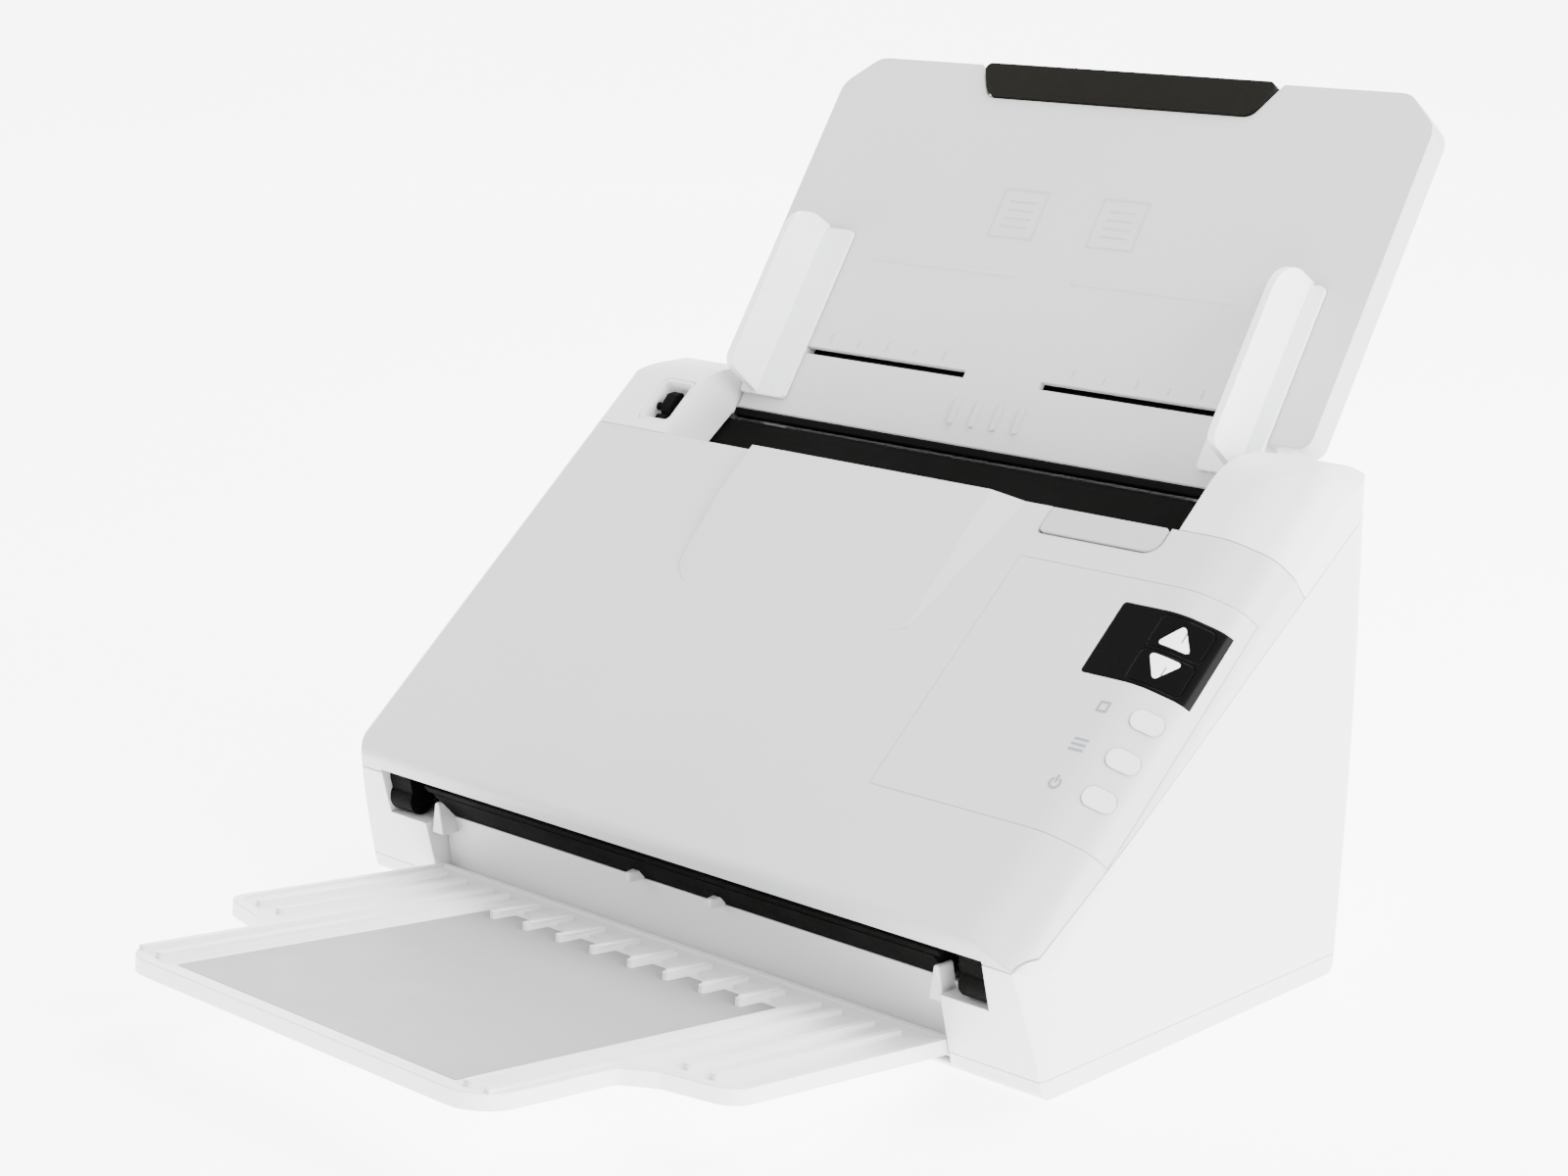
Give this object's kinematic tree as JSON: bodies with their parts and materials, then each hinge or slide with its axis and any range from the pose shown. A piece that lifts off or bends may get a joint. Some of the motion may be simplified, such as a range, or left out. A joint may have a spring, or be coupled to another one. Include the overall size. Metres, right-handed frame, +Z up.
{
  "type": "sheet-fed document scanner",
  "caption": "White desktop document scanner: sloping cover, tilted feed tray with side guides, short catch tray in front.",
  "frame": {"origin": "middle of the whole footprint, on the surface that the feet stand on", "axes": "+X across the paper, +Y from the catch tray to the feed tray, +Z up"},
  "size_m": [0.316, 0.4042, 0.2875],
  "materials": {
    "white_cover": "satin",
    "white_side": "satin",
    "tray_plastic": "satin",
    "guide_plastic": "satin",
    "output_plastic": "satin",
    "black_plastic": "satin",
    "gloss_black": "gloss",
    "rubber": "matte",
    "steel": "brushed",
    "glass": "gloss",
    "circuit_board": "satin",
    "gear_plastic": "satin"
  },
  "bodies": {
    "housing": {"base_pan": "white_side", "left_side_cover": "white_side", "right_side_cover": "white_side", "rear_cover": "white_side", "top_cover": "white_side", "latch_housing": "white_side", "lower_frame": "black_plastic", "exit_wall": "white_side", "exit_guide": "black_plastic", "lower_sensor": "black_plastic", "lower_glass": "glass", "motor": "steel", "main_board": "circuit_board", "usb_socket": "steel", "dc_jack": "black_plastic", "base_screws": "steel", "feet": "rubber", "hinge_pins": "steel", "idler_pins": "steel", "shaft_bushes": "steel"},
    "cover": {"front_cover": "white_cover", "cover_frame": "black_plastic", "control_insert": "white_cover", "display_panel": "gloss_black", "control_board": "circuit_board", "upper_sensor": "black_plastic", "upper_glass": "glass"},
    "latch": {"cover_latch": "black_plastic"},
    "release": {"release_button": "white_cover"},
    "up": {"up_key": "gloss_black"},
    "down": {"down_key": "gloss_black"},
    "button_1": {"function_button_1": "white_side"},
    "button_2": {"function_button_2": "white_side"},
    "button_3": {"function_button_3": "white_side"},
    "feed_drive": {"feed_shaft": "steel", "feed_tyres": "rubber", "feed_gear": "gear_plastic"},
    "transport_drive": {"drive_shaft": "steel", "drive_tyres": "rubber", "drive_gear": "gear_plastic"},
    "exit_drive": {"exit_shaft": "steel", "exit_tyres": "rubber", "exit_gear": "gear_plastic"},
    "idler_1": {"idler_1_gear": "gear_plastic"},
    "idler_2": {"idler_2_gear": "gear_plastic"},
    "pinion": {"motor_pinion": "steel"},
    "separation": {"separation_roller": "rubber"},
    "transport_pinch": {"drive_pinch_roller": "rubber"},
    "exit_pinch": {"exit_pinch_roller": "rubber"},
    "tray": {"input_tray": "tray_plastic", "rack_cover": "black_plastic"},
    "extension": {"tray_extension": "tray_plastic", "extension_grip": "black_plastic"},
    "guide_left": {"left_guide": "guide_plastic"},
    "guide_right": {"right_guide": "guide_plastic"},
    "guide_gear": {"guide_pinion": "gear_plastic"},
    "out_tray": {"output_tray": "output_plastic"}
  },
  "joints": [
    {"name": "cover_hinge", "type": "hinge", "parent": "housing", "child": "cover", "pos_m": [0, -0.04174, 0.034], "axis": [1, 0, 0], "range_deg": [0, 75]},
    {"name": "latch_rock", "type": "hinge", "parent": "housing", "child": "latch", "pos_m": [-0.1305, 0.08669, 0.16007], "axis": [1, 0, 0], "range_deg": [-4, 0], "stiffness_Nm_per_rad": 0.02},
    {"name": "release_press", "type": "slide", "parent": "cover", "child": "release", "axis": [0, 0.6428, -0.766], "range_m": [0, 0.0014], "stiffness_N_per_m": 200},
    {"name": "up_press", "type": "slide", "parent": "cover", "child": "up", "axis": [0, 0.6428, -0.766], "range_m": [0, 0.0008], "stiffness_N_per_m": 200},
    {"name": "down_press", "type": "slide", "parent": "cover", "child": "down", "axis": [0, 0.6428, -0.766], "range_m": [0, 0.0008], "stiffness_N_per_m": 200},
    {"name": "button_1_press", "type": "slide", "parent": "cover", "child": "button_1", "axis": [-0.3867, 0.5928, -0.7064], "range_m": [0, 0.0009], "stiffness_N_per_m": 200},
    {"name": "button_2_press", "type": "slide", "parent": "cover", "child": "button_2", "axis": [-0.3867, 0.5928, -0.7064], "range_m": [0, 0.0009], "stiffness_N_per_m": 200},
    {"name": "button_3_press", "type": "slide", "parent": "cover", "child": "button_3", "axis": [-0.3867, 0.5928, -0.7064], "range_m": [0, 0.0009], "stiffness_N_per_m": 200},
    {"name": "feed_spin", "type": "hinge", "parent": "housing", "child": "feed_drive", "pos_m": [0, 0.08466, 0.11879], "axis": [1, 0, 0], "continuous": true},
    {"name": "idler_1_spin", "type": "hinge", "parent": "housing", "child": "idler_1", "pos_m": [-0.1247, 0.05929, 0.09467], "axis": [1, 0, 0], "continuous": true},
    {"name": "transport_spin", "type": "hinge", "parent": "housing", "child": "transport_drive", "pos_m": [0, 0.02614, 0.08344], "axis": [1, 0, 0], "continuous": true},
    {"name": "idler_2_spin", "type": "hinge", "parent": "housing", "child": "idler_2", "pos_m": [-0.1247, 0.00256, 0.06035], "axis": [1, 0, 0], "continuous": true},
    {"name": "exit_spin", "type": "hinge", "parent": "housing", "child": "exit_drive", "pos_m": [0, -0.02501, 0.04852], "axis": [1, 0, 0], "continuous": true},
    {"name": "pinion_spin", "type": "hinge", "parent": "housing", "child": "pinion", "pos_m": [-0.1247, 0.06764, 0.06899], "axis": [1, 0, 0], "continuous": true},
    {"name": "separation_spin", "type": "hinge", "parent": "cover", "child": "separation", "pos_m": [0, 0.07088, 0.13764], "axis": [1, 0, 0], "continuous": true},
    {"name": "transport_pinch_spin", "type": "hinge", "parent": "cover", "child": "transport_pinch", "pos_m": [0, 0.01708, 0.09583], "axis": [1, 0, 0], "continuous": true},
    {"name": "exit_pinch_spin", "type": "hinge", "parent": "cover", "child": "exit_pinch", "pos_m": [0, -0.03188, 0.05792], "axis": [1, 0, 0], "continuous": true},
    {"name": "tray_lift", "type": "slide", "parent": "housing", "child": "tray", "axis": [0, 0.5519, 0.8339], "range_m": [0, 0.06]},
    {"name": "extension_slide", "type": "slide", "parent": "tray", "child": "extension", "axis": [0, 0.5519, 0.8339], "range_m": [0, 0.06]},
    {"name": "guide_slide", "type": "slide", "parent": "tray", "child": "guide_left", "axis": [1, 0, 0], "range_m": [0, 0.068]},
    {"name": "guide_right_slide", "type": "slide", "parent": "tray", "child": "guide_right", "axis": [1, 0, 0], "range_m": [-0.068, 0]},
    {"name": "guide_pinion_spin", "type": "hinge", "parent": "tray", "child": "guide_gear", "pos_m": [0, 0.1279, 0.17981], "axis": [0, 0.8339, -0.5519], "range_deg": [-1, 651]},
    {"name": "out_tray_hinge", "type": "hinge", "parent": "housing", "child": "out_tray", "pos_m": [0, -0.03894, 0.0084], "axis": [1, 0, 0], "range_deg": [-50, 0]}
  ],
  "couplings": [
    {"joint": "idler_1_spin", "follows": "feed_spin", "ratio": -0.75},
    {"joint": "transport_spin", "follows": "feed_spin", "ratio": 1},
    {"joint": "idler_2_spin", "follows": "feed_spin", "ratio": -0.83333},
    {"joint": "exit_spin", "follows": "feed_spin", "ratio": 1.25},
    {"joint": "pinion_spin", "follows": "feed_spin", "ratio": 2.1429},
    {"joint": "guide_right_slide", "follows": "guide_slide", "ratio": -1},
    {"joint": "guide_pinion_spin", "follows": "guide_slide", "rad_per_m": 166.67}
  ]
}
